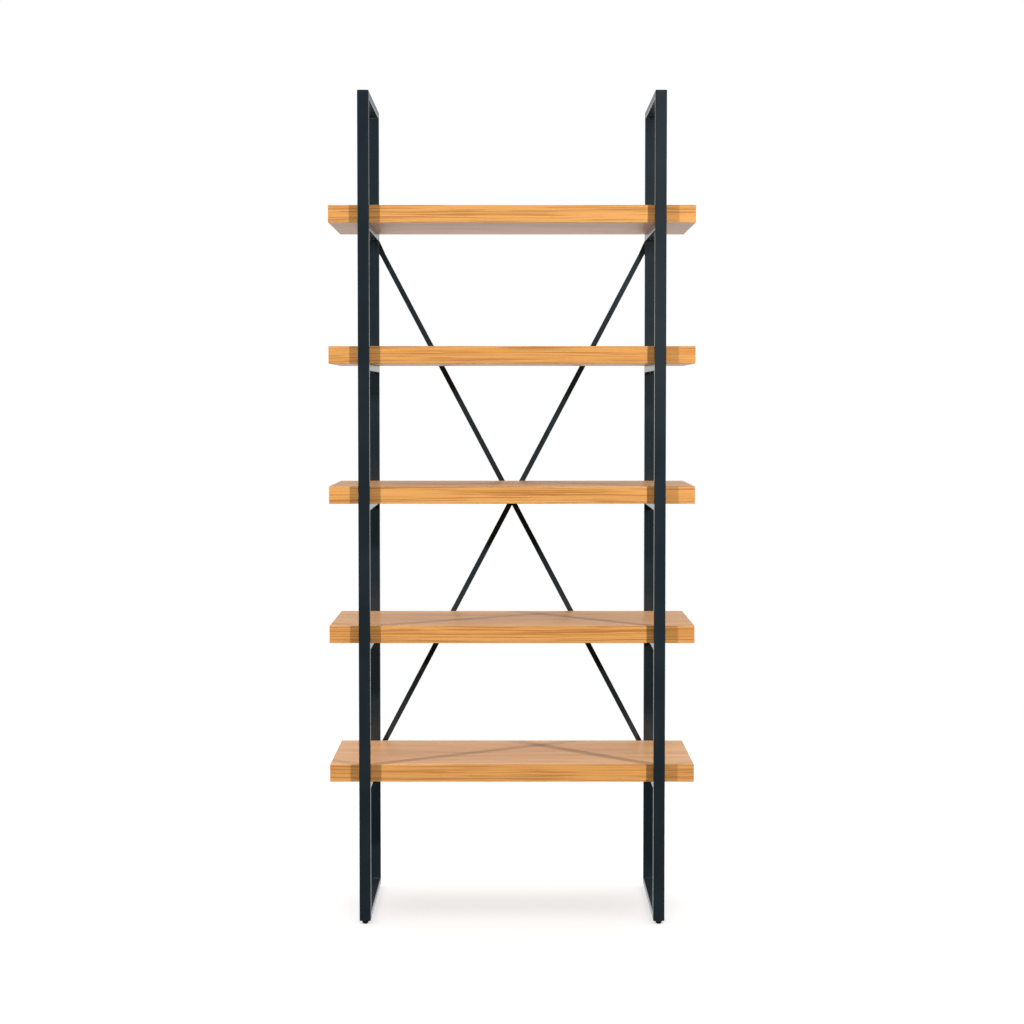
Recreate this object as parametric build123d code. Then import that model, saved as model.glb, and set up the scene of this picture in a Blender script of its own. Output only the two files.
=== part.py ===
from build123d import *
import os
from math import hypot

# Bookcase with five thick wooden shelves between two steel side frames.
# Millimetres. +Z is up, +Y points from the open front to the back, and +X to the right as seen
# from the front. The origin is on the floor, under the middle of the bookcase.

# ---- Overall size ----
TOTAL_HEIGHT = 1820.0
TOTAL_DEPTH = 350.0
SHELF_LENGTH = 800.0
SIDE_OVERHANG = 65.0

# ---- Steel tube of the side frames: width along X, height in the plane of the frame ----
TUBE_WIDTH = 25.0
TUBE_HEIGHT = 15.0
TUBE_WALL = 1.5
TUBE_RADIUS = 2.0

# ---- Shelves ----
SHELF_COUNT = 5
LOWEST_SHELF_TOP = 350.0
SHELF_PITCH = 306.0
SHELF_THICKNESS = 38.0
SHELF_GAP = 1.0
FACE_THICKNESS = 0.8
BAND_THICKNESS = 2.0
BAND_ROUND = 0.8

# ---- Screws that come up through the rails, and their inserts in the boards ----
SCREW_OFFSET = 95.0
SCREW_RADIUS = 2.5
SCREW_REACH = 20.0
SCREW_HOLE_RADIUS = 2.75
SCREW_HEAD_RADIUS = 4.75
SCREW_HEAD_HEIGHT = 2.8
INSERT_RADIUS = 4.5
INSERT_BORE = 2.8
INSERT_LENGTH = 14.0
BOARD_BORE_DEPTH = 23.0

# ---- Cross brace of two flat bars across the back ----
BRACE_WIDTH = 12.0
BRACE_THICKNESS = 2.5
EYE_RADIUS = 9.0
EYE_TAPER = 45.0
BRACE_BOLT_RADIUS = 2.9
BRACE_HOLE_RADIUS = 3.25
BRACE_HEAD_RADIUS = 5.25
BRACE_HEAD_HEIGHT = 3.0
BRACE_BOLT_REACH = 9.0
CROSS_BOLT_RADIUS = 2.4
CROSS_HOLE_RADIUS = 2.75
CROSS_HEAD_RADIUS = 4.75
CROSS_NUT_WIDTH = 8.0
CROSS_NUT_HEIGHT = 4.0
CROSS_NUT_BORE = 2.5

# ---- Button-head bolts, in shares of the head's height or radius and of the shank's radius ----
HEAD_ROUND = 0.55
SOCKET_SIZE = 0.42
SOCKET_DEPTH = 0.6
SHANK_TIP = 0.25

# ---- Blind rivet nuts set in the tube walls ----
NUT_RADIUS = 4.5
NUT_BORE = 3.0
NUT_LENGTH = 10.0
NUT_FLANGE_RADIUS = 6.5
NUT_FLANGE = 1.0

# ---- Levelling feet ----
FOOT_HEIGHT = 7.0
GLIDE_RADIUS = 7.25
GLIDE_FLAT_RADIUS = 4.5
GLIDE_RIM = 1.5
GLIDE_CURVE = 7.0
STUD_RADIUS = 2.95
STUD_TOP = 27.0
STUD_SEAT = 2.0
STUD_TIP = 0.8

# ---- Places worked out from the sizes above ----
FRAME_X = SHELF_LENGTH / 2 - SIDE_OVERHANG - TUBE_WIDTH / 2
FRONT_Y = -TOTAL_DEPTH / 2
REAR_Y = TOTAL_DEPTH / 2 - 2 * BRACE_THICKNESS - BRACE_HEAD_HEIGHT
FRONT_POST_Y = FRONT_Y + TUBE_HEIGHT / 2
REAR_POST_Y = REAR_Y - TUBE_HEIGHT / 2
MIDDLE_Y = (FRONT_Y + REAR_Y) / 2
RAIL_LENGTH = REAR_Y - FRONT_Y - 2 * TUBE_HEIGHT
SHELF_DEPTH = RAIL_LENGTH - 2 * SHELF_GAP
SIDES = {"left": -1, "right": 1}
SHELF_NUMBERS = range(1, SHELF_COUNT + 1)


def shelf_bottom(number):
    return LOWEST_SHELF_TOP + (number - 1) * SHELF_PITCH - SHELF_THICKNESS


def rail_middle(number):
    return shelf_bottom(number) - TUBE_HEIGHT / 2


def tube(length):
    """Rectangular tube that stands on the XY plane, open at both ends."""
    outside = RectangleRounded(TUBE_WIDTH, TUBE_HEIGHT, TUBE_RADIUS)
    inside = RectangleRounded(
        TUBE_WIDTH - 2 * TUBE_WALL, TUBE_HEIGHT - 2 * TUBE_WALL, TUBE_RADIUS - TUBE_WALL
    )
    return extrude(outside - inside, length)


def lying(shape):
    """Turns what stands along +Z so that it lies along +Y."""
    return Rotation(-90, 0, 0) * shape


def drill(radius, depth):
    """A hole's cutter: it starts at the origin and goes up."""
    return Cylinder(radius, depth, align=(Align.CENTER, Align.CENTER, Align.MIN))


def nut_hole():
    """Cutter for a rivet nut's hole in one tube wall, centred on the wall's outer face."""
    return Cylinder(NUT_RADIUS, 4 * TUBE_WALL)


def mitre(y, z, inward_y, inward_z, keep_post):
    """Wedge that one tube loses at a mitred corner of the frame, whose outer corner is at y, z."""
    inner = (y + inward_y * TUBE_HEIGHT, z + inward_z * TUBE_HEIGHT)
    side = (inner[0], z) if keep_post else (y, inner[1])
    outline = Plane.YZ * make_face(Polyline((y, z), inner, side, close=True))
    return extrude(outline, TUBE_WIDTH, both=True)


def corner_cuts(keep_post):
    """The four mitre wedges of a side frame, for the posts or for the bars."""
    cuts = []
    for y, inward_y in ((FRONT_Y, 1), (REAR_Y, -1)):
        for z, inward_z in ((FOOT_HEIGHT, 1), (TOTAL_HEIGHT, -1)):
            cuts.append(mitre(y, z, inward_y, inward_z, keep_post))
    return cuts


def post(y):
    shape = Pos(0, y, FOOT_HEIGHT) * tube(TOTAL_HEIGHT - FOOT_HEIGHT)
    return shape - corner_cuts(keep_post=True)


def rear_post():
    """The rear post has two holes in its back wall for the brace's rivet nuts."""
    shape = post(REAR_POST_Y)
    for z in brace_heights():
        shape -= Pos(0, REAR_Y, z) * lying(nut_hole())
    return shape


def frame_bar(z):
    shape = Pos(0, FRONT_Y, z) * lying(tube(REAR_Y - FRONT_Y))
    return shape - corner_cuts(keep_post=False)


def bottom_bar():
    """The bottom bar has a hole in its lower wall over each foot."""
    shape = frame_bar(FOOT_HEIGHT + TUBE_HEIGHT / 2)
    for y in (FRONT_POST_Y, REAR_POST_Y):
        shape -= Pos(0, y, FOOT_HEIGHT) * nut_hole()
    return shape


def support_rail(number):
    """Short tube between the posts, under a shelf, drilled for two screws."""
    start = Pos(0, FRONT_Y + TUBE_HEIGHT, rail_middle(number))
    shape = start * lying(tube(RAIL_LENGTH))
    for y in screw_rows():
        shape -= Pos(0, y, shelf_bottom(number) - TUBE_HEIGHT) * drill(SCREW_HOLE_RADIUS, TUBE_HEIGHT)
    return shape


def screw_rows():
    return (MIDDLE_Y - SCREW_OFFSET, MIDDLE_Y + SCREW_OFFSET)


def screw_places(z):
    """The four screws of a shelf, at height z."""
    return [Pos(side * FRAME_X, y, z) for side in SIDES.values() for y in screw_rows()]


def brace_heights():
    """The brace is bolted at the height of the lowest and the highest rail."""
    return (rail_middle(1), rail_middle(SHELF_COUNT))


def socket_bolt(radius, reach, head_radius, head_height):
    """Button-head bolt with a hexagon socket: head up from the origin, shank down."""
    head = drill(head_radius, head_height)
    head = fillet(head.edges().sort_by(Axis.Z)[-1], HEAD_ROUND * head_height)
    socket = extrude(RegularPolygon(SOCKET_SIZE * head_radius, 6), -SOCKET_DEPTH * head_height)
    head -= Pos(0, 0, head_height) * socket
    shank = Pos(0, 0, -reach) * drill(radius, reach)
    shank = chamfer(shank.edges().sort_by(Axis.Z)[0], SHANK_TIP * radius)
    return head + shank


def rivet_nut(flange):
    """Threaded sleeve that goes up into a tube, with an optional flange below the wall."""
    shape = drill(NUT_RADIUS, NUT_LENGTH)
    if flange:
        shape += Pos(0, 0, -NUT_FLANGE) * drill(NUT_FLANGE_RADIUS, NUT_FLANGE)
    return shape - Pos(0, 0, -NUT_FLANGE) * drill(NUT_BORE, NUT_LENGTH + NUT_FLANGE)


def board_core(number):
    """Chipboard core with a stepped blind bore for each screw."""
    height = SHELF_THICKNESS - 2 * FACE_THICKNESS
    shape = Box(SHELF_LENGTH - 2 * BAND_THICKNESS, SHELF_DEPTH - 2 * BAND_THICKNESS, height)
    shape = Pos(0, MIDDLE_Y, shelf_bottom(number) + SHELF_THICKNESS / 2) * shape
    for place in screw_places(shelf_bottom(number)):
        shape -= place * drill(INSERT_RADIUS, INSERT_LENGTH)
        shape -= place * drill(INSERT_BORE, BOARD_BORE_DEPTH)
    return shape


def board_faces(number):
    """Veneer sheets on the top and the underside of the core."""
    bottom = shelf_bottom(number)
    length = SHELF_LENGTH - 2 * BAND_THICKNESS
    depth = SHELF_DEPTH - 2 * BAND_THICKNESS
    sheet = Box(length, depth, FACE_THICKNESS, align=(Align.CENTER, Align.CENTER, Align.MIN))
    upper = Pos(0, MIDDLE_Y, bottom + SHELF_THICKNESS - FACE_THICKNESS) * sheet
    lower = Pos(0, MIDDLE_Y, bottom) * sheet
    for place in screw_places(bottom):
        lower -= place * drill(INSERT_RADIUS, INSERT_LENGTH)
    return [upper, lower]


def long_band(facing):
    """Edge band along the front (facing -1) or the back (facing 1) of a board, ends included."""
    band = Box(SHELF_LENGTH, BAND_THICKNESS, SHELF_THICKNESS)
    outer = band.edges().filter_by(Axis.X).group_by(Axis.Y)[0 if facing < 0 else -1]
    ends = band.edges().filter_by(Axis.Z).group_by(Axis.Y)[0 if facing < 0 else -1]
    return fillet(outer + ends, BAND_ROUND)


def short_band(facing):
    """Edge band across the left (facing -1) or the right (facing 1) end of a board."""
    band = Box(BAND_THICKNESS, SHELF_DEPTH - 2 * BAND_THICKNESS, SHELF_THICKNESS)
    outer = band.edges().filter_by(Axis.Y).group_by(Axis.X)[0 if facing < 0 else -1]
    return fillet(outer, BAND_ROUND)


def board_bands(number):
    middle = Pos(0, MIDDLE_Y, shelf_bottom(number) + SHELF_THICKNESS / 2)
    out_x = (SHELF_LENGTH - BAND_THICKNESS) / 2
    out_y = (SHELF_DEPTH - BAND_THICKNESS) / 2
    bands = []
    for facing in (-1, 1):
        bands.append(middle * Pos(0, facing * out_y, 0) * long_band(facing))
        bands.append(middle * Pos(facing * out_x, 0, 0) * short_band(facing))
    return bands


def board_inserts(number):
    """Threaded sleeves, flush with the underside, that the screws stand in."""
    sleeve = drill(INSERT_RADIUS, INSERT_LENGTH) - drill(INSERT_BORE, INSERT_LENGTH)
    return [place * sleeve for place in screw_places(shelf_bottom(number))]


def shelf_screws():
    """Screws up through the rails: four for each shelf, heads under the rails."""
    screw = socket_bolt(
        SCREW_RADIUS, TUBE_HEIGHT + SCREW_REACH, SCREW_HEAD_RADIUS, SCREW_HEAD_HEIGHT
    )
    screw = Rotation(180, 0, 0) * screw
    screws = []
    for number in SHELF_NUMBERS:
        screws += [place * screw for place in screw_places(shelf_bottom(number) - TUBE_HEIGHT)]
    return screws


def brace_bar(lean, y):
    """Flat bar from one lower rear corner to the opposite upper one; lean 1 rises to the right."""
    low, high = brace_heights()
    run = 2 * FRAME_X
    rise = high - low
    half = hypot(run, rise) / 2
    outline = Rectangle(2 * (half - EYE_TAPER), BRACE_WIDTH)
    for end in (-1, 1):
        taper = Polyline(
            (end * half, EYE_RADIUS),
            (end * (half - EYE_TAPER), BRACE_WIDTH / 2),
            (end * (half - EYE_TAPER), -BRACE_WIDTH / 2),
            (end * half, -EYE_RADIUS),
            close=True,
        )
        outline += make_face(taper)
        outline += Pos(end * half, 0) * Circle(EYE_RADIUS)
        outline -= Pos(end * half, 0) * Circle(BRACE_HOLE_RADIUS)
    outline -= Circle(CROSS_HOLE_RADIUS)
    middle = Plane(origin=(0, y, (low + high) / 2), x_dir=(run, 0, lean * rise), z_dir=(0, 1, 0))
    return extrude(middle * outline, BRACE_THICKNESS)


def brace_ends(lean):
    """The two bolt places of a bar, on the back faces of the rear posts."""
    left, right = brace_heights()[::lean]
    return [Pos(-FRAME_X, REAR_Y, left), Pos(FRAME_X, REAR_Y, right)]


def brace_end_bolts():
    """One bolt at each end of each bar; the outer bar's pair has the spacer under it too."""
    bolts = []
    for lean, stack in ((1, BRACE_THICKNESS), (-1, 2 * BRACE_THICKNESS)):
        bolt = socket_bolt(
            BRACE_BOLT_RADIUS, stack + BRACE_BOLT_REACH, BRACE_HEAD_RADIUS, BRACE_HEAD_HEIGHT
        )
        bolts += [place * Pos(0, stack, 0) * lying(bolt) for place in brace_ends(lean)]
    return bolts


def brace_spacers():
    """Washers as thick as a bar, under the two ends of the outer bar."""
    ring = drill(EYE_RADIUS, BRACE_THICKNESS) - drill(BRACE_HOLE_RADIUS, BRACE_THICKNESS)
    return [place * lying(ring) for place in brace_ends(-1)]


def brace_rivet_nuts():
    """Rivet nuts, flush with the back of the rear posts."""
    nut = Pos(0, -NUT_LENGTH, 0) * lying(rivet_nut(flange=False))
    return [place * nut for lean in (1, -1) for place in brace_ends(lean)]


def cross_place():
    return Pos(0, REAR_Y, sum(brace_heights()) / 2)


def cross_bolt():
    reach = 2 * BRACE_THICKNESS + CROSS_NUT_HEIGHT
    bolt = socket_bolt(CROSS_BOLT_RADIUS, reach, CROSS_HEAD_RADIUS, BRACE_HEAD_HEIGHT)
    return cross_place() * Pos(0, 2 * BRACE_THICKNESS, 0) * lying(bolt)


def cross_nut():
    """Hexagon nut on the front of the crossing."""
    body = extrude(RegularPolygon(CROSS_NUT_WIDTH / 2, 6, major_radius=False), CROSS_NUT_HEIGHT)
    body -= drill(CROSS_NUT_BORE, CROSS_NUT_HEIGHT)
    return cross_place() * Pos(0, -CROSS_NUT_HEIGHT, 0) * lying(body)


def foot_places():
    places = {}
    for row, y in (("front", FRONT_POST_Y), ("rear", REAR_POST_Y)):
        for side, sign in SIDES.items():
            places[f"{row}_{side}_foot"] = Pos(sign * FRAME_X, y, 0)
    return places


def foot_nuts():
    """Rivet nuts in the bottom bars, one over each foot."""
    return [place * Pos(0, 0, FOOT_HEIGHT) * rivet_nut(flange=True) for place in foot_places().values()]


def foot_glide():
    """Domed glide: a small flat on the floor, curving out to a rim under the nut's flange."""
    top = FOOT_HEIGHT - NUT_FLANGE
    rim = top - GLIDE_RIM
    floor_edge = (GLIDE_FLAT_RADIUS, 0)
    rim_edge = (GLIDE_RADIUS, rim)
    dome = RadiusArc(floor_edge, rim_edge, -GLIDE_CURVE)
    sides = Polyline(floor_edge, (0, 0), (0, top), (GLIDE_RADIUS, top), rim_edge)
    shape = revolve(Plane.XZ * make_face([dome, sides]), Axis.Z)
    return shape - Pos(0, 0, STUD_SEAT) * drill(STUD_RADIUS, FOOT_HEIGHT)


def foot_stud():
    """Threaded stud, fixed in the glide, that turns in the rivet nut."""
    stud = drill(STUD_RADIUS, STUD_TOP - STUD_SEAT)
    return Pos(0, 0, STUD_SEAT) * chamfer(stud.edges().sort_by(Axis.Z)[-1], STUD_TIP)


def side_frame_nodes(side):
    """Welded ladder of one side: two posts, a top and a bottom bar, and a rail for each shelf."""
    nodes = {
        f"{side}_front_post": post(FRONT_POST_Y),
        f"{side}_rear_post": rear_post(),
        f"{side}_top_bar": frame_bar(TOTAL_HEIGHT - TUBE_HEIGHT / 2),
        f"{side}_bottom_bar": bottom_bar(),
    }
    for number in SHELF_NUMBERS:
        nodes[f"{side}_rail_{number}"] = support_rail(number)
    return {name: Pos(SIDES[side] * FRAME_X, 0, 0) * shape for name, shape in nodes.items()}


def shelf_nodes(number):
    return {
        f"shelf_{number}_core": board_core(number),
        f"shelf_{number}_faces": Compound(board_faces(number)),
        f"shelf_{number}_edge_bands": Compound(board_bands(number)),
        f"shelf_{number}_inserts": Compound(board_inserts(number)),
    }


def brace_nodes():
    return {
        "brace_rising_right": brace_bar(1, REAR_Y),
        "brace_rising_left": brace_bar(-1, REAR_Y + BRACE_THICKNESS),
        "brace_end_bolts": Compound(brace_end_bolts()),
        "brace_spacers": Compound(brace_spacers()),
        "brace_rivet_nuts": Compound(brace_rivet_nuts()),
        "brace_cross_bolt": cross_bolt(),
        "brace_cross_nut": cross_nut(),
    }


def foot_nodes():
    nodes = {"foot_rivet_nuts": Compound(foot_nuts())}
    for name, place in foot_places().items():
        nodes[f"{name}_glide"] = place * foot_glide()
        nodes[f"{name}_stud"] = place * foot_stud()
    return nodes


def all_nodes():
    nodes = {}
    for side in SIDES:
        nodes.update(side_frame_nodes(side))
    for number in SHELF_NUMBERS:
        nodes.update(shelf_nodes(number))
    nodes["shelf_screws"] = Compound(shelf_screws())
    nodes.update(brace_nodes())
    nodes.update(foot_nodes())
    return nodes


os.makedirs("parts", exist_ok=True)
for node_name, node_shape in all_nodes().items():
    export_step(node_shape, f"parts/{node_name}.step")
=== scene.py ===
import math

import bmesh
import bpy
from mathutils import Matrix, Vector


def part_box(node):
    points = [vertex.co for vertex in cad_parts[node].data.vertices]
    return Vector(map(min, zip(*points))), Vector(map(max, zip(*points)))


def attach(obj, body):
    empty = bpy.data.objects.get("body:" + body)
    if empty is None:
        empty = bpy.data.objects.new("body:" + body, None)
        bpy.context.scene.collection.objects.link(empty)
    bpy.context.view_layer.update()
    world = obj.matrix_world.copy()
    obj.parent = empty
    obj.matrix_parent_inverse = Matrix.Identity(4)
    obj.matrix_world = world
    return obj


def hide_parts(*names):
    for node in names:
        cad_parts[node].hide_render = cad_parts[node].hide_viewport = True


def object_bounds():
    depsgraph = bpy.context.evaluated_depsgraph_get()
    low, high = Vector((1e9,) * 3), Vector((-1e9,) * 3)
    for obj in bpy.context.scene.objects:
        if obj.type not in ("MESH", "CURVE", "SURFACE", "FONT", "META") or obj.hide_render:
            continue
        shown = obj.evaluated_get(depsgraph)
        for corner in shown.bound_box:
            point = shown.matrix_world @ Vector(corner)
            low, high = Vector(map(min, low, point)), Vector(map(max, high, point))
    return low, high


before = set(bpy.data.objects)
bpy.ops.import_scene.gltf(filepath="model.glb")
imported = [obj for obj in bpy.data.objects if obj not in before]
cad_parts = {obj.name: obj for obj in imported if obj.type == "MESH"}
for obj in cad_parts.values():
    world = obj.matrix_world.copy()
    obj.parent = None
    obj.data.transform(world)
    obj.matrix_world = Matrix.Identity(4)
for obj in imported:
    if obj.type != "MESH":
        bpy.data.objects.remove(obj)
cad_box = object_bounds()

# Looks of the bookcase: veneered shelves on powder-coated steel ladders, with a flat-bar cross brace.
# Metres. +Z is up, +Y points to the back, and +X to the right as seen from the front.

SIDES = ("left", "right")
SHELVES = (1, 2, 3, 4, 5)
MM = 0.001

# ---- Camera: above the middle of the bookcase, level with its third gap, and tilted down ----
CAMERA_DISTANCE = 4.295
CAMERA_HEIGHT = 1.149
CAMERA_TILT = math.radians(-2.38)
CAMERA_LENS = 69.43
CAMERA_SHIFT = -0.0285
CAMERA_SENSOR = 36.0

# ---- Studio: lamps in front, a white backdrop behind and above, a darker room in front ----
LAMP_SIZE = 0.15
LAMP_DISTANCE = 3.4
LAMP_HEIGHT = 1.75
LAMP_AIM = 0.20
LEFT_LAMP_AZIMUTH = math.radians(-57.0)
RIGHT_LAMP_AZIMUTH = math.radians(47.0)
LEFT_LAMP_WATTS = 108.0
RIGHT_LAMP_WATTS = 116.0
RIGHT_GLOSS_AZIMUTH = math.radians(14.0)
GLOSS_LAMP_SIZE = 1.4
LEFT_GLOSS_WATTS = 9.0
RIGHT_GLOSS_WATTS = 3.0
BACKDROP_LIGHT_LOW = 1.00
BACKDROP_LIGHT_HIGH = 0.37
ROOM_LIGHT = 0.03
CEILING_LIGHT = 2.0
FLOOR_RADIUS = 6.0
FLOOR_GLOW = 0.62
FLOOR_FADE_START = 0.6
FLOOR_FADE_END = 3.2

# ---- Details that the CAD leaves plain ----
SHARP_ANGLE = math.radians(38.0)
TUBE_RADIUS = 2.0 * MM
WELD_LEG = 2.6 * MM
WELD_ROOT = 0.2 * MM
WELD_RIPPLE = 0.10
WELD_RIPPLES = 15
WELD_STATIONS = 120
WELD_STEPS = 5
WELD_CROWN = 0.45
WELD_END_SHARE = 0.35
WELD_END_SLOPE = 6.0
BOLT_SEGMENTS = 48
DOME_STEPS = 6
THREAD_SEGMENTS = 20
THREAD_SINK = 0.1 * MM
THREAD_FOOT_SHARE = 0.86
THREAD_LAND_SHARE = 0.18
STUD_THREAD_DEPTH = 0.55 * MM
STUD_PITCH = 1.0 * MM
STUD_TIP = 0.6 * MM
SCREW_RADIUS = 2.5 * MM
SCREW_HEAD_RADIUS = 4.75 * MM
SCREW_HEAD_HEIGHT = 2.8 * MM
SCREW_DOME = 1.54 * MM
SCREW_PLAIN_LENGTH = 14.0 * MM
SCREW_REACH = 20.0 * MM
SCREW_THREAD_DEPTH = 0.45 * MM
SCREW_PITCH = 0.8 * MM
SCREW_TIP = 0.5 * MM
SCREW_TURN = 2.4
SOCKET_RADIUS = 2.0 * MM
SOCKET_DEPTH = 1.68 * MM
SOCKET_LEAD = 0.15 * MM
SOCKET_DRAFT = 0.97
GRAIN_SWAY = 9.0 * MM
GRAIN_ROUGHNESS = 0.55
END_FACING = 0.6


class Graph:
    """One material, with short calls that add nodes to it."""

    def __init__(self, name):
        self.material = bpy.data.materials.new(name)
        self.material.use_nodes = True
        self.tree = self.material.node_tree
        self.shader = self.tree.nodes["Principled BSDF"]

    def put(self, socket, value):
        if isinstance(value, bpy.types.NodeSocket):
            self.tree.links.new(value, socket)
        else:
            socket.default_value = value

    def node(self, kind, inputs, **settings):
        node = self.tree.nodes.new("ShaderNode" + kind)
        for key, value in settings.items():
            setattr(node, key, value)
        for key, value in inputs.items():
            self.put(node.inputs[key], value)
        return node

    def math(self, operation, a, b=0.0):
        return self.node("Math", {0: a, 1: b}, operation=operation).outputs[0]

    def object_place(self):
        return self.node("TexCoord", {}).outputs["Object"]

    def split(self, vector):
        return self.node("SeparateXYZ", {0: vector}).outputs

    def join(self, x, y, z):
        return self.node("CombineXYZ", {0: x, 1: y, 2: z}).outputs[0]

    def noise(self, vector, scale=1.0, detail=2.0, roughness=0.5):
        inputs = {"Vector": vector, "Scale": scale, "Detail": detail, "Roughness": roughness}
        return self.node("TexNoise", inputs).outputs["Fac"]

    def ramp(self, value, low, high, start=0.0, end=1.0):
        inputs = {"Value": value, "From Min": low, "From Max": high, "To Min": start, "To Max": end}
        return self.node("MapRange", inputs, interpolation_type="SMOOTHSTEP").outputs[0]

    def blend(self, share, a, b):
        node = self.node("Mix", {}, data_type="RGBA")
        self.put(node.inputs["Factor"], share)
        self.put(node.inputs[6], a)
        self.put(node.inputs[7], b)
        return node.outputs[2]

    def choose(self, share, a, b):
        node = self.node("Mix", {}, data_type="FLOAT")
        self.put(node.inputs["Factor"], share)
        self.put(node.inputs[2], a)
        self.put(node.inputs[3], b)
        return node.outputs[0]

    def bump(self, height, distance, strength):
        inputs = {"Height": height, "Distance": distance, "Strength": strength}
        self.put(self.shader.inputs["Normal"], self.node("Bump", inputs).outputs[0])

    def finish(self, colour, roughness, **sockets):
        self.put(self.shader.inputs["Base Color"], colour)
        self.put(self.shader.inputs["Roughness"], roughness)
        for key, value in sockets.items():
            self.put(self.shader.inputs[key.replace("_", " ")], value)
        return self.material


def edge_share(graph, reach):
    """Near 1 on the edges of a piece and 0 on its flat faces."""
    rounded = graph.node("Bevel", {"Radius": reach}, samples=4).outputs[0]
    flat = graph.node("NewGeometry", {}).outputs["Normal"]
    level = graph.node("VectorMath", {0: rounded, 1: flat}, operation="DOT_PRODUCT").outputs["Value"]
    return graph.ramp(level, 0.995, 0.90)


# ---- Materials ----
def powder_coat():
    """Dark blue-grey fine-textured powder coat, a little lighter and smoother along its edges, in
    patches.
    """
    g = Graph("powder_coat")
    place = g.object_place()
    cloud = g.noise(place, 7.0, 3.0)
    peel = g.noise(place, 900.0, 2.0, 0.6)
    grit = g.noise(place, 2600.0, 1.0)
    base = g.blend(g.ramp(cloud, 0.3, 0.7), (0.0116, 0.0182, 0.0234, 1), (0.0156, 0.0244, 0.0306, 1))
    speck = g.blend(g.ramp(grit, 0.62, 0.74, 0.0, 0.3), base, (0.04, 0.052, 0.060, 1))
    # Mask for a lighter, smoother band along the edges, broken into patches by noise.
    lighter_edge = g.math("MULTIPLY", edge_share(g, 1.6 * MM), g.ramp(g.noise(place, 60.0, 4.0), 0.42, 0.72))
    colour = g.blend(g.math("MULTIPLY", lighter_edge, 0.55), speck, (0.085, 0.10, 0.11, 1))
    roughness = g.math("SUBTRACT", g.ramp(peel, 0.25, 0.75, 0.19, 0.27), g.math("MULTIPLY", lighter_edge, 0.10))
    g.bump(g.math("ADD", peel, g.math("MULTIPLY", grit, 0.35)), 0.12 * MM, 0.22)
    return g.finish(colour, roughness)


def grain_axes(g, round_the_edge):
    """Coordinates along, across and into the grain; on an edge band the grain runs level round it."""
    x, y, z = g.split(g.object_place())
    if not round_the_edge:
        return x, y, z
    facing = g.split(g.node("TexCoord", {}).outputs["Normal"])[0]
    end = g.math("GREATER_THAN", g.math("ABSOLUTE", facing), END_FACING)
    return g.choose(end, x, y), z, g.choose(end, y, x)


def veneer(name, round_the_edge, tones, streak_share, roughness_range):
    """Golden wood veneer with long tapering streaks, soft bands, short pores and satin lacquer."""
    dark, middle, light = tones
    g = Graph(name)
    along, across, depth = grain_axes(g, round_the_edge)
    slow = g.join(g.math("MULTIPLY", along, 3.0), g.math("MULTIPLY", across, 12.0), depth)
    drift = g.noise(slow, 1.0, 2.0)
    sway = g.math("MULTIPLY", g.math("SUBTRACT", drift, 0.5), GRAIN_SWAY)
    line = g.math("ADD", across, sway)
    depth_slow = g.math("MULTIPLY", depth, 9.0)

    def streaks(along_scale, line_scale, detail):
        stretched = g.math("MULTIPLY", along, along_scale)
        vector = g.join(stretched, g.math("MULTIPLY", line, line_scale), depth_slow)
        return g.noise(vector, 1.0, detail, GRAIN_ROUGHNESS)

    broad = streaks(0.9, 26.0, 2.0)
    fine = streaks(3.6, 400.0, 1.0)
    thin = streaks(4.6, 460.0, 1.0)
    pores = streaks(70.0, 1700.0, 1.0)
    tone = g.blend(g.ramp(broad, 0.30, 0.70), middle, light)
    dark_share = g.math("MULTIPLY", g.ramp(fine, 0.51, 0.44), streak_share)
    colour = g.blend(dark_share, tone, dark)
    colour = g.blend(g.ramp(thin, 0.51, 0.58, 0.0, 0.85), colour, light)
    colour = g.blend(g.ramp(pores, 0.64, 0.74, 0.0, 0.45), colour, dark)
    low, high = roughness_range
    roughness = g.ramp(fine, 0.35, 0.65, high, low)
    height = g.math("ADD", g.math("MULTIPLY", fine, 0.7), g.math("MULTIPLY", pores, -0.3))
    g.bump(height, 0.35 * MM, 0.5)
    return g.finish(colour, roughness)


def chipboard():
    """Pressed chips of pale wood, for the raw core and its bores."""
    g = Graph("chipboard_core")
    chips = g.node("TexVoronoi", {"Vector": g.object_place(), "Scale": 420.0})
    share = g.split(chips.outputs["Color"])[0]
    colour = g.blend(share, (0.30, 0.19, 0.10, 1), (0.62, 0.46, 0.29, 1))
    g.bump(chips.outputs["Distance"], 0.4 * MM, 0.6)
    return g.finish(colour, g.ramp(share, 0.0, 1.0, 0.75, 0.92))


def plated_steel(name, tones, roughness_range, edge_lightening):
    """Metal fastener with faint turning marks, a mottled plating and brighter edges."""
    dull, bright = tones
    g = Graph(name)
    place = g.object_place()
    mottle = g.noise(place, 260.0, 4.0, 0.6)
    marks = g.noise(place, 1800.0, 2.0)
    # Lighter along every edge of the fastener, by the amount given.
    lighter_edge = g.math("MULTIPLY", edge_share(g, 0.5 * MM), edge_lightening)
    base = g.blend(g.ramp(mottle, 0.3, 0.7), dull, bright)
    colour = g.blend(lighter_edge, base, (0.62, 0.62, 0.60, 1))
    low, high = roughness_range
    g.bump(marks, 0.03 * MM, 0.5)
    return g.finish(colour, g.ramp(mottle, 0.3, 0.7, low, high), Metallic=1.0)


def moulded_plastic():
    """Black plastic of the glides, with a fine spark-eroded texture and scuffs."""
    g = Graph("moulded_plastic")
    place = g.object_place()
    spark = g.noise(place, 2200.0, 2.0)
    scuff = g.ramp(g.noise(place, 340.0, 5.0, 0.7), 0.60, 0.75, 0.0, 0.5)
    colour = g.blend(scuff, (0.008, 0.008, 0.009, 1), (0.035, 0.035, 0.036, 1))
    g.bump(spark, 0.05 * MM, 0.5)
    return g.finish(colour, g.ramp(spark, 0.3, 0.7, 0.45, 0.62))


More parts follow.
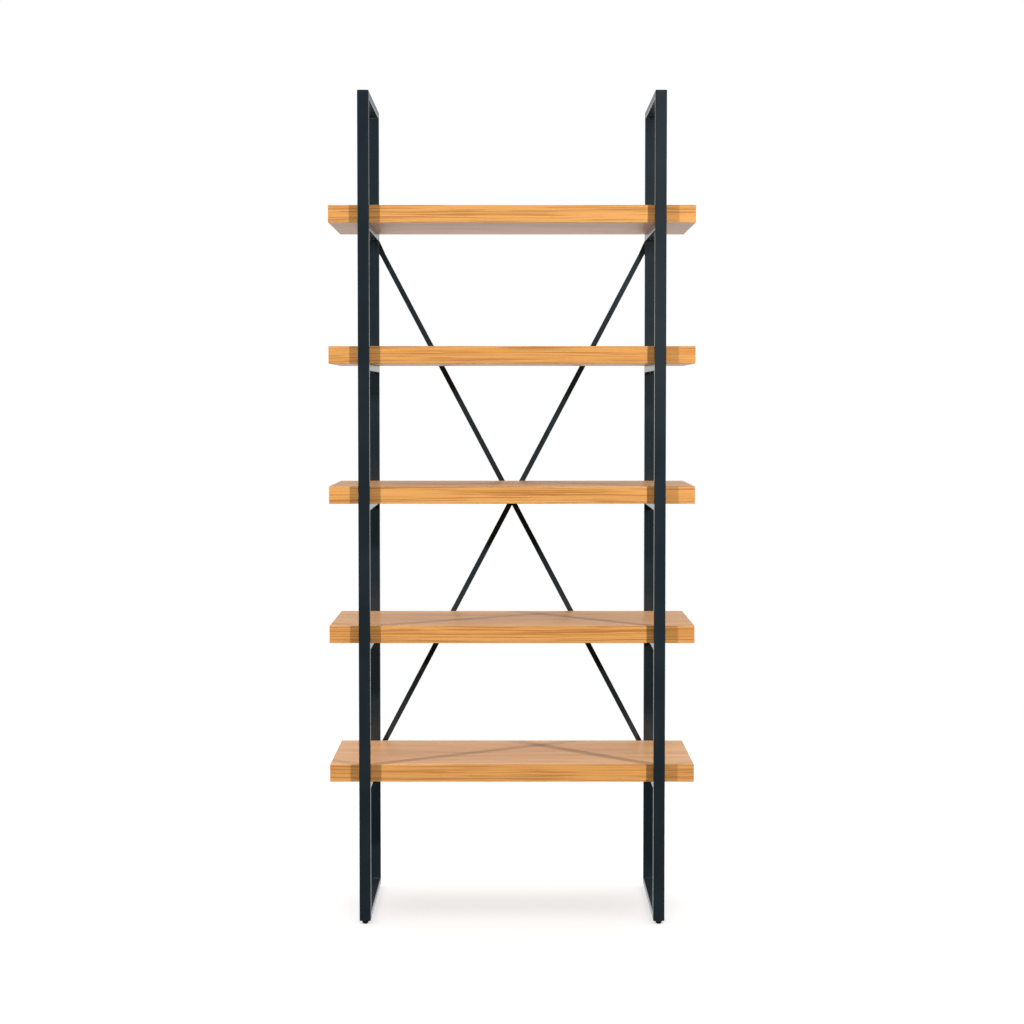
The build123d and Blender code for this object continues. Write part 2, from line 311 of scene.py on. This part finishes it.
EDGE_TONES = ((0.35, 0.125, 0.032, 1), (0.60, 0.265, 0.068, 1), (0.76, 0.37, 0.112, 1))
# Face tones lighter and paler than the edge's: partly own tone, partly painted sheen from the lamps.
FACE_TONES_WITH_PAINTED_SHEEN = ((0.40, 0.190, 0.075, 1), (0.66, 0.355, 0.155, 1), (0.80, 0.46, 0.22, 1))


def make_finishes():
    """The material of each slot of the record."""
    return {
        "powder_coated_steel": powder_coat(),
        "wood_face_veneer": veneer("face_veneer", False, FACE_TONES_WITH_PAINTED_SHEEN, 0.55, (0.34, 0.44)),
        "wood_edge_veneer": veneer("edge_veneer", True, EDGE_TONES, 0.62, (0.34, 0.48)),
        "chipboard": chipboard(),
        "black_screw_steel": plated_steel(
            "black_oxide", ((0.030, 0.030, 0.034, 1), (0.060, 0.060, 0.066, 1)), (0.28, 0.42), 0.35
        ),
        "zinc_plated_steel": plated_steel(
            "bright_zinc", ((0.52, 0.54, 0.57, 1), (0.70, 0.72, 0.74, 1)), (0.22, 0.38), 0.30
        ),
        "black_plastic": moulded_plastic(),
    }


def dress_cad_nodes(finishes):
    """Every CAD node that still shows takes the finish of its own slot."""
    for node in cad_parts.values():
        for number, material in enumerate(node.data.materials):
            node.data.materials[number] = finishes[material.name.split(".")[0]]


# ---- Pieces made in mesh code ----
def add_piece(name, build, finish, body):
    """Meshes what build draws, smooths it but for its sharp corners, and rides it on its body."""
    shape = bmesh.new()
    build(shape)
    bmesh.ops.recalc_face_normals(shape, faces=shape.faces)
    for face in shape.faces:
        face.smooth = True
    for edge in shape.edges:
        edge.smooth = edge.calc_face_angle(0.0) < SHARP_ANGLE
    mesh = bpy.data.meshes.new(name)
    shape.to_mesh(mesh)
    shape.free()
    mesh.materials.append(finish)
    piece = bpy.data.objects.new(name, mesh)
    bpy.context.scene.collection.objects.link(piece)
    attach(piece, body)
    return piece


def loft(shape, rings):
    """Skins closed rings of equally many points, one after the other, and caps both ends."""
    loops = [[shape.verts.new(point) for point in ring] for ring in rings]
    for one, other in zip(loops, loops[1:]):
        for i, vertex in enumerate(one):
            shape.faces.new((one[i - 1], vertex, other[i], other[i - 1]))
    shape.faces.new(loops[0])
    shape.faces.new(loops[-1])


def weld_bead(shape, start, end, inward, away):
    """Small rippled fillet in a corner of the frame, from start to end along the corner."""
    rings = []
    for station in range(WELD_STATIONS + 1):
        share = station / WELD_STATIONS
        corner = start.lerp(end, share)
        taper = min(1.0, WELD_END_SLOPE * min(share, 1.0 - share) + WELD_END_SHARE)
        leg = WELD_LEG * taper * (1.0 + WELD_RIPPLE * math.sin(math.tau * WELD_RIPPLES * share))
        ring = [corner - (inward + away) * WELD_ROOT]
        for step in range(WELD_STEPS + 1):
            angle = math.pi / 2 * step / WELD_STEPS
            flat = 1.0 / (math.cos(angle) + math.sin(angle))
            reach = leg * (flat + WELD_CROWN * (1.0 - flat))
            ring.append(corner + (inward * math.cos(angle) + away * math.sin(angle)) * reach)
        rings.append(ring)
    loft(shape, rings)


def add_welds(finishes):
    """Welds under each rail, and in the four inner corners of each side frame."""
    steel = "powder_coated_steel"
    up = Vector((0, 0, 1))
    back = Vector((0, 1, 0))
    for side in SIDES:
        post_lo, post_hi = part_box(side + "_front_post")
        rear_lo, rear_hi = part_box(side + "_rear_post")
        heights = [(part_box(f"{side}_rail_{number}")[0].z, -up) for number in SHELVES]
        heights.append((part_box(side + "_top_bar")[0].z, -up))
        heights.append((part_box(side + "_bottom_bar")[1].z, up))

        def build(shape):
            for z, away in heights:
                for y, inward in ((post_hi.y, back), (rear_lo.y, -back)):
                    start = Vector((post_lo.x + TUBE_RADIUS, y, z))
                    end = Vector((post_hi.x - TUBE_RADIUS, y, z))
                    weld_bead(shape, start, end, inward, away)

        add_piece(side + "_frame_welds", build, finishes[steel], "frame")


def circle(axis, z, radius, count):
    """Level ring of points round an upright axis."""
    turns = [math.tau * i / count for i in range(count)]
    return [Vector((axis.x + radius * math.cos(a), axis.y + radius * math.sin(a), z)) for a in turns]


def hexagon(axis, z, radius, count, turn):
    """Level hexagonal ring of points; count is a multiple of six."""
    points = []
    for i in range(count):
        angle = math.tau * i / count
        off_corner = (angle + math.pi / 6) % (math.pi / 3) - math.pi / 6
        reach = radius * math.cos(math.pi / 6) / math.cos(math.pi / 6 - abs(off_corner))
        x = axis.x + reach * math.cos(angle + turn)
        y = axis.y + reach * math.sin(angle + turn)
        points.append(Vector((x, y, z)))
    return points


def thread(shape, axis, low, high, root, crest, pitch):
    """Helical ridge round a core, running out into it at both ends."""
    turns = (high - low) / pitch
    stations = round(turns * THREAD_SEGMENTS)
    rings = []
    for station in range(stations + 1):
        angle = math.tau * turns * station / stations
        z = low + (high - low) * station / stations
        run_out = min(1.0, station / THREAD_SEGMENTS, (stations - station) / THREAD_SEGMENTS)
        outward = Vector((math.cos(angle), math.sin(angle), 0))
        foot = Vector((axis.x, axis.y, z)) + outward * (root - THREAD_SINK)
        ridge = Vector((axis.x, axis.y, z)) + outward * (root + (crest - root) * run_out)
        half = Vector((0, 0, pitch * THREAD_FOOT_SHARE / 2))
        land = half * THREAD_LAND_SHARE
        rings.append([foot - half, ridge - land, ridge + land, foot + half])
    loft(shape, rings)


def add_foot_studs(finishes):
    """Threaded studs of the levelling feet, in place of their plain CAD pins."""
    for end in ("front", "rear"):
        for side in SIDES:
            name = f"{end}_{side}_foot_stud"
            lo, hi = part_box(name)
            axis = (lo + hi) / 2
            radius = (hi.x - lo.x) / 2
            core = radius - STUD_THREAD_DEPTH

            def build(shape):
                rings = [circle(axis, lo.z, core, BOLT_SEGMENTS)]
                rings.append(circle(axis, hi.z - STUD_TIP, core, BOLT_SEGMENTS))
                rings.append(circle(axis, hi.z, core - STUD_TIP, BOLT_SEGMENTS))
                loft(shape, rings)
                thread(shape, axis, lo.z + STUD_TIP, hi.z - STUD_TIP, core, radius, STUD_PITCH)

            zinc = "zinc_plated_steel"
            stud = add_piece(name + "_threaded", build, finishes[zinc], f"{end}_{side}_foot")
            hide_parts(name)


def shelf_screw(shape, axis, under, top, turn):
    """Button-head screw: head under the rail with a hexagon socket, shank up into the board."""
    head_top = under - SCREW_HEAD_HEIGHT
    count = BOLT_SEGMENTS
    rings = [hexagon(axis, head_top + SOCKET_DEPTH, SOCKET_RADIUS * SOCKET_DRAFT, count, turn)]
    rings.append(hexagon(axis, head_top + SOCKET_LEAD, SOCKET_RADIUS, count, turn))
    rings.append(circle(axis, head_top, SOCKET_RADIUS + SOCKET_LEAD, count))
    flat = SCREW_HEAD_RADIUS - SCREW_DOME
    for step in range(DOME_STEPS + 1):
        angle = math.pi / 2 * step / DOME_STEPS
        radius = flat + SCREW_DOME * math.sin(angle)
        rings.append(circle(axis, head_top + SCREW_DOME * (1 - math.cos(angle)), radius, count))
    rings.append(circle(axis, under, SCREW_HEAD_RADIUS, count))
    rings.append(circle(axis, under, SCREW_RADIUS, count))
    plain = under + SCREW_PLAIN_LENGTH
    core = SCREW_RADIUS - SCREW_THREAD_DEPTH
    rings.append(circle(axis, plain, SCREW_RADIUS, count))
    rings.append(circle(axis, plain + SCREW_THREAD_DEPTH, core, count))
    rings.append(circle(axis, top - SCREW_TIP, core, count))
    rings.append(circle(axis, top, core - SCREW_TIP, count))
    loft(shape, rings)
    thread(shape, axis, plain, top - SCREW_TIP, core, SCREW_RADIUS, SCREW_PITCH)


def add_shelf_screws(finishes):
    """The twenty shelf screws with sockets and threads, in place of their plain CAD solids."""
    lo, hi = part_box("shelf_screws")

    def build(shape):
        count = 0
        for number in SHELVES:
            for side in SIDES:
                rail_lo, rail_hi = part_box(f"{side}_rail_{number}")
                for y in (lo.y + SCREW_HEAD_RADIUS, hi.y - SCREW_HEAD_RADIUS):
                    axis = Vector(((rail_lo.x + rail_hi.x) / 2, y, 0))
                    top = rail_hi.z + SCREW_REACH
                    shelf_screw(shape, axis, rail_lo.z, top, count * SCREW_TURN)
                    count += 1

    black = "black_screw_steel"
    screws = add_piece("shelf_screws_threaded", build, finishes[black], "frame")
    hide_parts("shelf_screws")


# ---- Studio ----
def make_camera():
    lo, hi = cad_box
    data = bpy.data.cameras.new("camera")
    data.sensor_width = CAMERA_SENSOR
    data.lens = CAMERA_LENS
    data.shift_y = CAMERA_SHIFT
    camera = bpy.data.objects.new("camera", data)
    camera.location = ((lo.x + hi.x) / 2, lo.y - CAMERA_DISTANCE, CAMERA_HEIGHT)
    camera.rotation_euler = (math.pi / 2 + CAMERA_TILT, 0, 0)
    bpy.context.scene.collection.objects.link(camera)
    bpy.context.scene.camera = camera


def make_lamp(name, azimuth, size, watts, gloss):
    """Square lamp in front, turned towards the bookcase, that makes its gloss or its plain light."""
    data = bpy.data.lights.new(name, "AREA")
    data.shape = "SQUARE"
    data.size = size
    data.energy = watts
    lamp = bpy.data.objects.new(name, data)
    lamp.visible_glossy = gloss
    lamp.visible_diffuse = not gloss
    place = Vector((math.sin(azimuth), -math.cos(azimuth), 0)) * LAMP_DISTANCE
    place.z = LAMP_HEIGHT
    lamp.location = place
    aim = Vector((0, 0, LAMP_AIM)) - place
    lamp.rotation_euler = aim.to_track_quat("-Z", "Y").to_euler()
    bpy.context.scene.collection.objects.link(lamp)
    return lamp


def make_lamps():
    return (
        make_lamp("left_key", LEFT_LAMP_AZIMUTH, LAMP_SIZE, LEFT_LAMP_WATTS, False),
        make_lamp("right_key", RIGHT_LAMP_AZIMUTH, LAMP_SIZE, RIGHT_LAMP_WATTS, False),
        make_lamp("left_gloss", LEFT_LAMP_AZIMUTH, GLOSS_LAMP_SIZE, LEFT_GLOSS_WATTS, True),
        make_lamp("right_gloss", RIGHT_GLOSS_AZIMUTH, GLOSS_LAMP_SIZE, RIGHT_GLOSS_WATTS, True),
    )


def make_world():
    """White all round to look at; as light, bright behind and above, and dim in front."""
    world = bpy.data.worlds.new("studio")
    world.use_nodes = True
    tree = world.node_tree
    background = tree.nodes["Background"]
    background.inputs["Color"].default_value = (1, 1, 1, 1)

    def node(kind, *values, **settings):
        made = tree.nodes.new("ShaderNode" + kind)
        for key, value in settings.items():
            setattr(made, key, value)
        for socket, value in zip(made.inputs, values):
            if isinstance(value, bpy.types.NodeSocket):
                tree.links.new(value, socket)
            else:
                socket.default_value = value
        return made.outputs

    x, y, z = node("SeparateXYZ", node("TexCoord")["Generated"])
    def ramp(value, low, high, start, end):
        return node("MapRange", value, low, high, start, end, interpolation_type="SMOOTHSTEP")[0]

    backdrop = ramp(z, 0.0, 0.22, BACKDROP_LIGHT_LOW, BACKDROP_LIGHT_HIGH)
    behind = ramp(y, -0.15, 0.50, ROOM_LIGHT, backdrop)
    above = ramp(z, 0.70, 0.95, 0.0, CEILING_LIGHT)
    light = node("Math", behind, above, operation="MAXIMUM")[0]
    seen = node("LightPath")["Is Camera Ray"]
    strength = node("Math", light, seen, operation="MAXIMUM")[0]
    tree.links.new(strength, background.inputs["Strength"])
    bpy.context.scene.world = world


def make_floor():
    """Pale floor that fades into white away from the bookcase, and shows from above only."""
    mesh = bpy.data.meshes.new("floor")
    shape = bmesh.new()
    bmesh.ops.create_circle(shape, cap_ends=True, radius=FLOOR_RADIUS, segments=128)
    shape.to_mesh(mesh)
    shape.free()
    floor = bpy.data.objects.new("floor", mesh)
    g = Graph("pale_floor")
    place = g.object_place()
    mottle = g.noise(place, 3.0, 3.0)
    colour = g.blend(mottle, (0.80, 0.80, 0.79, 1), (0.84, 0.84, 0.83, 1))
    glow = {"Emission_Color": (1, 1, 1, 1), "Emission_Strength": FLOOR_GLOW}
    g.finish(colour, 0.9, Specular_IOR_Level=0.0, **glow)
    away = g.node("VectorMath", {0: place}, operation="LENGTH").outputs["Value"]
    upper_side = g.math("SUBTRACT", 1.0, g.node("NewGeometry", {}).outputs["Backfacing"])
    alpha = g.math("MULTIPLY", g.ramp(away, FLOOR_FADE_START, FLOOR_FADE_END, 1.0, 0.0), upper_side)
    g.put(g.shader.inputs["Alpha"], alpha)
    mesh.materials.append(g.material)
    floor.visible_diffuse = False
    floor.visible_glossy = False
    bpy.context.scene.collection.objects.link(floor)
    return floor


def keep_lamps_off(floor, lamps):
    """The lamps light the bookcase only, so the floor keeps a plain soft shadow."""
    for lamp in lamps:
        receivers = bpy.data.collections.new(lamp.name + "_receivers")
        receivers.objects.link(floor)
        receivers.collection_objects[0].light_linking.link_state = "EXCLUDE"
        lamp.light_linking.receiver_collection = receivers


make_camera()
make_world()
keep_lamps_off(make_floor(), make_lamps())
finishes = make_finishes()
dress_cad_nodes(finishes)
add_welds(finishes)
add_foot_studs(finishes)
add_shelf_screws(finishes)
bpy.context.scene.view_settings.view_transform = "Standard"
